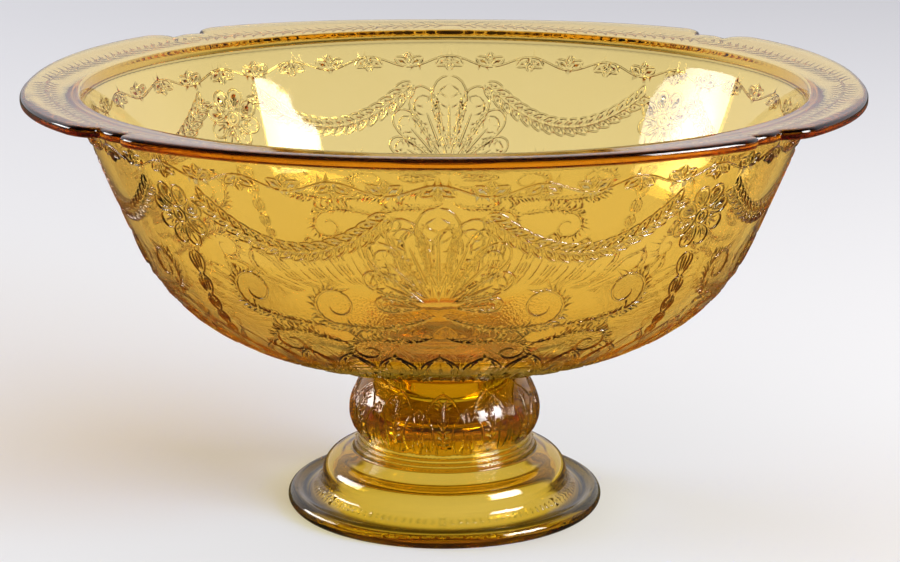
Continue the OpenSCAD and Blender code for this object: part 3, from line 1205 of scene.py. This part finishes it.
# %% Outside of the pedestal
bead = arc(bead_mid, (bead_r, bead_r), -90, 90, 17)
dome = arc(dome_middle, dome_round, -15, 75, 13)
ring_corner = [(ring_round, 0), (0.1 * ring_round, 0.4 * ring_round), (0, ring_round)]
ring_edge = ring_corner + [(inset, ring_h - rise) for inset, rise in ring_corner[::-1]]
collar = [(collar_r - k * ring_step - inset, dome_h + k * ring_h + rise)
          for k in range(ring_rows) for inset, rise in ring_edge]
groove = np.array([groove_r, groove_h])
ball_mid = np.array([ball_r, groove_h + ball_h * ball_mid_share])
ball_end = np.array([neck_top_r, ball_top_h])
waist = np.array([waist_r, ball_top_h + (joint_h - ball_top_h) * waist_share])
joint = np.array([joint_r, joint_h])
pedestal_outside = np.vstack([
    bead,
    curve([bead[-1], valley + [valley_pull_out * MM, 0], valley], 5),
    curve([valley, valley - [valley_pull_in * MM, 0], dome[0]], 7),
    dome[1:],
    curve([dome[-1], dome_middle + [0, dome_round_h], (collar_r, dome_h)], 6)[:-1],
    collar,
    [groove],
    curve([groove, groove + slope(groove_lean) * ball_low_pull * MM,
           ball_mid - [0, ball_low_pull * MM], ball_mid], 10),
    curve([ball_mid, ball_mid + [0, ball_high_pull * MM],
           ball_end + slope(neck_lean) * neck_pull * MM, ball_end], 14),
    curve([ball_end, waist - [0, waist_pull * MM], waist], 4),
    curve([waist, (waist_r, joint_h - joint_pull * MM), joint], 4)])
pedestal_skin = Skin(pedestal_outside, plan_r=ball_r)
print("outside of the pedestal:", len(pedestal_outside), "points")

# %% Cup and hollow of the pedestal
cup_floor_h = joint_h - cup_depth
joint_top_h = joint_h + joint_sink
cup_section = np.vstack([
    [joint, (joint_r, joint_top_h), (cup_r, joint_top_h)],
    curve([(cup_r, joint_top_h), (cup_r, cup_floor_h + cup_round)], 5),
    curve([(cup_r, cup_floor_h + cup_round), (cup_r, cup_floor_h),
           (cup_r - cup_round, cup_floor_h)], 6),
    [(cup_r / 2, cup_floor_h)]])
hollow_top = np.array([0, cup_floor_h - web_t])
hollow_side = np.array([dome_middle[0] + dome_round_w - foot_t, dome_mid_h])
hollow_roof = np.array([dome_middle[0], dome_mid_h + dome_round_h - foot_t])
rest_in_r = bead_mid[0] - rest_w
hollow_skirt = np.array([rest_in_r - rest_chamfer, rest_chamfer])
hollow_section = np.vstack([
    curve([hollow_top, (hollow_top_w, hollow_top[1]),
           stem_hollow + [0, stem_pull_up * MM], stem_hollow], 14),
    curve([stem_hollow, stem_hollow + [MM, stem_pull_down * MM],
           hollow_roof + slope(roof_lean) * roof_pull_in * MM, hollow_roof], 10),
    curve([hollow_roof, hollow_roof + slope(side_lean) * roof_pull_out * MM,
           hollow_side + [0, side_pull * MM], hollow_side], 8),
    curve([hollow_side, (hollow_side[0], hollow_skirt[1]), hollow_skirt], 6),
    [(rest_in_r, 0), (bead_mid[0], 0)]])

# %% Set out the pedestal's ornament
pedestal_copies = 6
pedestal_turn = math.pi / pedestal_copies
panel_w = pedestal_turn * pedestal_skin.plan_r
band_rise = 1.5 * MM
past_panel = 2 * MM
leaf_low_gap, leaf_both_gaps = 2 * MM, 5 * MM
ball_low_row = pedestal_skin.row_at(1, groove_h)
ball_top_row = pedestal_skin.row_at(1, ball_top_h)
band_row = pedestal_skin.row_at(1, valley_h + band_rise)
ball_leaf_low = ball_low_row + leaf_low_gap
ball_leaf_h = ball_top_row - ball_low_row - leaf_both_gaps
t = np.linspace(0, 1, 9)
leaf_w = panel_w * 0.46
pedestal_marks = []
for middle, tall in ((0, 1), (panel_w, 1), (panel_w / 2, 0.72)):
    rib = np.array([(middle, ball_leaf_low + 1 * MM), (middle, ball_leaf_low + ball_leaf_h * tall)])
    for side in (1, -1):
        half_leaf = side * leaf_w * tall * np.sqrt(1 - t ** 2.5) * (0.75 + 0.25 * np.sin(t * 3))
        edge = np.column_stack([middle + half_leaf, ball_leaf_low + t * ball_leaf_h * tall])
        pedestal_marks.append(stroke(edge, ends=(0.1, 0)))
        if tall == 1:
            pedestal_marks += fringe(rib, 7.4 * MM, 1.9 * MM, lean=0.75, side=side, last=0.86,
                                     scallop=100)
    pedestal_marks.append(stroke(rib, 0.7 * MM, ends=(0.3, 0.3)))
band_line = np.array([(-past_panel, band_row), (panel_w + past_panel, band_row)])
pedestal_marks.append(stroke(band_line, 0.4 * MM, ends=(0, 0)))
pedestal_marks += leaf_pairs(band_line, spacing=1.9 * MM, offset=1 * MM, length=2.3 * MM,
                             half_w=0.6 * MM, height=0.4 * MM)
print("pedestal ornament:", len(pedestal_marks), "strokes")

# %% Build the pedestal's half lobe
bead_reach = 1.35
pedestal_columns = 14
pedestal_spacing = 1.5 * MM
pedestal_margin = 0.02


def bead_painted_shade(angle, radius, height):
    """How much painted shade the bead gets: full on its top and back, none in front and below."""
    out, up = radius - bead_mid[0], height - bead_mid[1]
    share = share_by_tilt(out, up, (40, 62, 155, 172), (0, 0.9, 0.97, 0))
    return np.where(np.hypot(out, up) < bead_reach * bead_r, share, 0)


pedestal_half = Shell()
pedestal_angles = np.linspace(0, pedestal_turn, pedestal_columns + 1)
pedestal_half.add_rings(
    [[(0, 0, hollow_top[1])]] + [round_ring(r, h, pedestal_angles) for r, h in hollow_section])
joint_edge = np.column_stack([
    pedestal_angles * pedestal_skin.plan_r, np.full(pedestal_columns + 1, pedestal_skin.rows[-1])])
pedestal_half.add(*carve(
    pedestal_skin, pedestal_marks, [], panel_w, joint_edge, pedestal_columns,
    plain_rows(pedestal_skin, pedestal_spacing, pedestal_skin.rows[1:-1]), pedestal_margin))
pedestal_half.add_rings(
    [round_ring(r, h, pedestal_angles) for r, h in cup_section] + [[(0, 0, cup_floor_h)]])
print("half a lobe of the pedestal:", len(pedestal_half.faces), "faces")

# %% [markdown]
# ## The glass
#
# Coloured glass gets its colour from its depth, not from its surface: a thin wall looks straw
# yellow and a thick heel brown. So most of the colour is a volume that absorbs, by an amount per
# metre that was worked out from how single and double walls look. The surface adds a light tint
# that drifts a little from place to place. On thick edges and, in part, on the flanks of the
# ornament the surface is painted near black: a painted shade that stands in for the dark of light
# running far along the glass and of the dark room seen in it there. Shadows get a colour of their
# own, because a shadow ray doesn't bend as light in real glass does. The mould and the fire-polish
# leave the surface a little uneven, which both pieces share as one node group.

# %% A group for the uneven skin of pressed glass
grain_range = (0.35, 0.65)


def pressed_skin_group():
    group = bpy.data.node_groups.new("pressed_skin", "ShaderNodeTree")
    name_sockets(group, "INPUT", "Float", [
        "Wave Scale", "Wave Depth", "Grain Scale", "Grain Depth", "Stipple Scale", "Stipple Depth",
        "Least Roughness", "Most Roughness"])
    name_sockets(group, "INPUT", "Color", ["Deep Tint", "Pale Tint", "Edge Tint"])
    name_sockets(group, "OUTPUT", "Float", ["Height", "Roughness"])
    name_sockets(group, "OUTPUT", "Color", ["Tint"])
    wires = Wires(group)
    given = wires.add("NodeGroupInput").outputs
    place = wires.add("ShaderNodeTexCoord").outputs["Object"]
    wave, grain = (
        wires.add("ShaderNodeTexNoise", {"Vector": place, "Scale": given[scale], "Detail": detail}
                  ).outputs["Fac"]
        for scale, detail in (("Wave Scale", 1), ("Grain Scale", 2)))
    cells = wires.add("ShaderNodeTexVoronoi", {"Vector": place, "Scale": given["Stipple Scale"]})
    # edge says where the painted shade goes: the near-black tint on thick edges and flanks
    where, edge = (wires.add("ShaderNodeAttribute", attribute_name=name).outputs["Fac"]
                   for name in ("stipple", "edge"))
    dots = wires.maths("MULTIPLY", wires.maths("MULTIPLY", cells.outputs["Distance"], where),
                       given["Stipple Depth"])
    height = wires.maths("ADD", wires.maths("MULTIPLY", wave, given["Wave Depth"]),
                         wires.maths("MULTIPLY", grain, given["Grain Depth"]))
    rough = wires.add("ShaderNodeMapRange", {
        "Value": grain, "From Min": grain_range[0], "From Max": grain_range[1],
        "To Min": given["Least Roughness"], "To Max": given["Most Roughness"]})
    tint = wires.mix(wave, given["Deep Tint"], given["Pale Tint"])
    wires.add("NodeGroupOutput", {
        "Height": wires.maths("ADD", height, dots), "Roughness": rough,
        "Tint": wires.mix(edge, tint, given["Edge Tint"])})
    return group


pressed_skin = pressed_skin_group()

# %% Glass that absorbs with depth
def glass(name, body_colour, depth_per_metre, shadow_colour, surface):
    """Glass by its colour and depth, the colour of its shadows and what the skin group is given."""
    material = bpy.data.materials.new(name)
    wires = cleared(material)
    skin = wires.add("ShaderNodeGroup", pressed_surface | surface, node_tree=pressed_skin)
    bump = wires.add("ShaderNodeBump", {
        "Strength": 1, "Distance": bump_depth, "Height": skin.outputs["Height"]})
    shader = wires.add("ShaderNodeBsdfPrincipled", {
        "Transmission Weight": 1, "IOR": glass_ior, "Base Color": skin.outputs["Tint"],
        "Roughness": skin.outputs["Roughness"], "Normal": bump})
    clear = wires.add("ShaderNodeBsdfTransparent", {"Color": (*shadow_colour, 1)})
    shadow_ray = wires.add("ShaderNodeLightPath").outputs["Is Shadow Ray"]
    depth = wires.add("ShaderNodeVolumeAbsorption", {
        "Color": (*body_colour, 1), "Density": depth_per_metre})
    wires.add("ShaderNodeOutputMaterial", {
        "Surface": wires.either(shadow_ray, shader, clear), "Volume": depth})
    return material


glass_ior = 1.51
bump_depth = 0.08 * MM
pressed_surface = {
    "Wave Depth": 1, "Grain Scale": 700, "Grain Depth": 0.02, "Stipple Scale": 1000,
    "Stipple Depth": 1, "Least Roughness": 0, "Most Roughness": 0.03}
# Each glass gets a near-black painted shade for its thick edges and the flanks of its ornament.
bowl_glass = glass("amber_glass", (0.974, 0.78, 0.032), 165, (0.93, 0.98, 1.29), {
    "Wave Scale": 45, "Deep Tint": (0.98, 0.86, 0.49, 1), "Pale Tint": (0.99, 0.88, 0.53, 1),
    "Edge Tint": (0.004, 0.001, 0.0004, 1)})
pedestal_glass = glass("straw_glass", (0.87, 0.79, 0.02), 155, (1.06, 1.09, 1.5), {
    "Wave Scale": 60, "Deep Tint": (0.96, 0.7, 0.15, 1), "Pale Tint": (0.975, 0.72, 0.18, 1),
    "Edge Tint": (0.02, 0.01, 0.003, 1)})

# %% [markdown]
# ## Both pieces
#
# Each piece rides on the root body of the frame and takes the place of its solid. The bowl is
# turned from four lobes and the pedestal from six panels.

# %% Turn both pieces
bowl = turn_lobe(bowl_half.lobe("pressed_bowl_lobe", rim_painted_shade), 4, bowl_glass)
pedestal = turn_lobe(pedestal_half.lobe("pressed_pedestal_lobe", bead_painted_shade),
                     pedestal_copies, pedestal_glass)
for piece, node, slot in ((bowl, "bowl", "bowl_glass"), (pedestal, "pedestal", "pedestal_glass")):
    shade(piece)
    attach(piece, "root")
    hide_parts(node)

# %% [markdown]
# ## The studio
#
# The floor is one sheet of pale paper. The camera sees it pale everywhere, and a little greyer far
# away. Through the glass its sides and near end count as dark, as they are where a table ends in a
# dark room. In reflections the whole sheet is painted dark brown, a painted shade for the paper
# that the bowl shades. Those dark parts draw the lines in the glass. Within the foot the paper is
# painted a little paler, a painted pool of the light that the glass would focus there, and a
# painted contact shadow, a darker ring, lies where the bead comes down.

# %% Floor
def paper_colour(wires):
    """The colour of the paper by place and by kind of ray, with painted light and shade in it: a
    paler pool within the foot, a contact shadow under the bead and shade in reflections.
    """
    place = wires.add("ShaderNodeTexCoord").outputs["Object"]
    spot = wires.add("ShaderNodeSeparateXYZ", {0: place}).outputs
    ray = wires.add("ShaderNodeLightPath").outputs
    far = wires.mix(ray["Is Camera Ray"], paper_far, paper_far_seen)
    paper = wires.mix(wires.smooth(spot["Y"], *near_to_far), paper_near, far)
    off_table = wires.maths(
        "MAXIMUM", wires.smooth(wires.maths("ABSOLUTE", spot["X"]), *table_sides),
        wires.smooth(spot["Y"], *table_front))
    unseen = wires.maths("SUBTRACT", 1, ray["Is Camera Ray"])
    paper = wires.mix(wires.maths("MULTIPLY", off_table, unseen), paper, paper_end)
    flat = wires.add("ShaderNodeCombineXYZ", {"X": spot["X"], "Y": spot["Y"]})
    radius = wires.add("ShaderNodeVectorMath", {0: flat}, operation="LENGTH").outputs["Value"]
    # painted light: the paper within the foot is paler, a painted pool of the light the glass would
    # focus there
    paper = wires.mix(wires.smooth(radius, rest_in_r, rest_in_r - caustic_pool_fade), paper, paper_caustic_pool)
    # painted shadow: a dark ring on the paper where the bead stands and just inside it
    contact_shadow = wires.maths(
        "MULTIPLY", wires.smooth(radius, rest_in_r - contact_shadow_start, rest_in_r - contact_shadow_full),
        wires.smooth(radius, bead_mid[0], rest_in_r))
    paper = wires.mix(contact_shadow, paper, paper_contact_shadow)
    mirrored = wires.maths("SUBTRACT", ray["Is Glossy Ray"], ray["Is Transmission Ray"], clamp=True)
    return wires.mix(mirrored, paper, paper_shaded_in_reflections)


near_to_far = (-0.1, 1.4)
table_sides = (0.4, 1.1)
table_front = (-0.12, -0.5)
caustic_pool_fade = 4 * MM
# where the painted contact shadow under the bead begins and where it is full
contact_shadow_start, contact_shadow_full = 9 * MM, 3.5 * MM
paper_near = (0.84, 0.83, 0.825, 1)
paper_far = (0.9, 0.9, 0.92, 1)
paper_end = (0.06, 0.06, 0.065, 1)
paper_far_seen = (0.76, 0.76, 0.785, 1)
# painted pool of light within the foot
paper_caustic_pool = (0.98, 0.97, 0.95, 1)
# painted shade: the paper as reflections see it, shaded under the bowl
paper_shaded_in_reflections = (0.1, 0.085, 0.06, 1)
# painted contact shadow under the bead
paper_contact_shadow = (0.26, 0.23, 0.19, 1)
sheet_half_w = 8
sheet = bpy.data.meshes.new("floor")
sheet.from_pydata([(sheet_half_w * x, sheet_half_w * y, 0)
                   for x, y in ((-1, -1), (1, -1), (1, 1), (-1, 1))], [], [(0, 1, 2, 3)])
floor_paper = bpy.data.materials.new("floor_paper")
wires = cleared(floor_paper)
wires.add("ShaderNodeOutputMaterial", {"Surface": wires.add("ShaderNodeBsdfPrincipled", {
    "Base Color": paper_colour(wires), "Roughness": 0.9, "Specular IOR Level": 0.1})})
sheet.materials.append(floor_paper)
floor = put("floor", sheet)

# %% [markdown]
# Two tall soft boxes stand at the sides, the left one a little behind the bowl and the right one a
# little in front. Their places follow from the highlights on the ball, the dome and the inside of
# the wall. Their cloth glows less towards its corners, as real ones do, which softens the ends of
# the highlights.

# %% Soft boxes
def soft_box(name, facing, distance, first, last, low, high, radiance):
    """A tall upright lamp that faces the bowl's axis.

    facing is where it stands, with 0 behind the bowl and 90 at its right. first and last are its
    sides, measured from the line to the axis, the way that the angle grows."""
    lamp = bpy.data.lights.new(name, "AREA")
    lamp.shape = "RECTANGLE"
    lamp.size, lamp.size_y = last - first, high - low
    lamp.energy = radiance * math.pi * (last - first) * (high - low)
    wires = cleared(lamp)
    spot = wires.add("ShaderNodeNewGeometry").outputs["Parametric"]
    off_centre = wires.add("ShaderNodeVectorMath", {0: spot, 1: (0.5, 0.5, 0)},
                           operation="DISTANCE").outputs["Value"]
    wires.add("ShaderNodeOutputLight", {"Surface": wires.add("ShaderNodeEmission", {
        "Strength": wires.smooth(off_centre, *lamp_fade, 1, lamp_edge)})})
    lamp_object = put(name, lamp)
    angle = math.radians(facing)
    aside = (first + last) / 2
    lamp_object.location = (
        distance * math.sin(angle) + aside * math.cos(angle),
        distance * math.cos(angle) - aside * math.sin(angle), (low + high) / 2)
    inward = Vector((-math.sin(angle), -math.cos(angle), 0))
    lamp_object.rotation_euler = inward.to_track_quat("-Z", "Y").to_euler()


lamp_fade = (0.3, 0.6)
lamp_edge = 0.45
soft_box("soft_box_left", facing=-115, distance=1.8, first=0.655, last=2.67,
         low=0.35, high=1.09, radiance=14.5)
soft_box("soft_box_right", facing=125, distance=2.2, first=-0.93, last=0.39,
         low=0.35, high=1.45, radiance=27)

# %% [markdown]
# The world stands for the rest of the room. It fills the shadows evenly. In reflections and
# through the glass it is what a studio is: a pale backdrop behind, and a dark room overhead and
# on the camera's side. That darkness is what draws the rims and the ornament of clear glass. To
# the camera itself it is all backdrop.

# %% World
def studio_world():
    world = bpy.data.worlds.new("studio")
    bpy.context.scene.world = world
    wires = cleared(world)
    way = wires.add("ShaderNodeTexCoord").outputs["Generated"]
    side = wires.add("ShaderNodeSeparateXYZ", {0: way}).outputs
    dark, pale, fill = (
        wires.add("ShaderNodeBackground", {"Color": (*colour, 1), "Strength": level})
        for colour, level in ((room_colour, room_level), (backdrop_colour, backdrop_level),
                              (backdrop_colour, fill_level)))
    studio = wires.either(wires.smooth(side["Y"], *front_to_back), dark, pale)
    studio = wires.either(wires.smooth(side["Z"], *low_to_overhead), studio, dark)
    ray = wires.add("ShaderNodeLightPath").outputs
    in_glass = wires.maths("MAXIMUM", ray["Is Glossy Ray"], ray["Is Transmission Ray"])
    result = wires.either(in_glass, fill, studio)
    wires.add("ShaderNodeOutputWorld", {
        "Surface": wires.either(ray["Is Camera Ray"], result, pale)})


front_to_back = (-0.05, 0.55)
low_to_overhead = (0.55, 0.95)
room_colour = (0.9, 0.93, 1)
room_level = 0.03
backdrop_colour = (0.95, 0.94, 1)
backdrop_level = 0.72
fill_level = 0.42
studio_world()

# %% [markdown]
# ## Picture settings
#
# A ray that looks through both walls and their ornament crosses many surfaces, so the bounces are
# raised until nothing in the glass turns black for want of them. The shadow colour of the glass
# stands in for caustics.

# %% Picture settings
scene = bpy.context.scene
scene.view_settings.view_transform = "Standard"
scene.cycles.max_bounces = 24
scene.cycles.transmission_bounces = 24
scene.cycles.glossy_bounces = 8
scene.cycles.transparent_max_bounces = 24
scene.cycles.caustics_refractive = False
scene.cycles.caustics_reflective = False
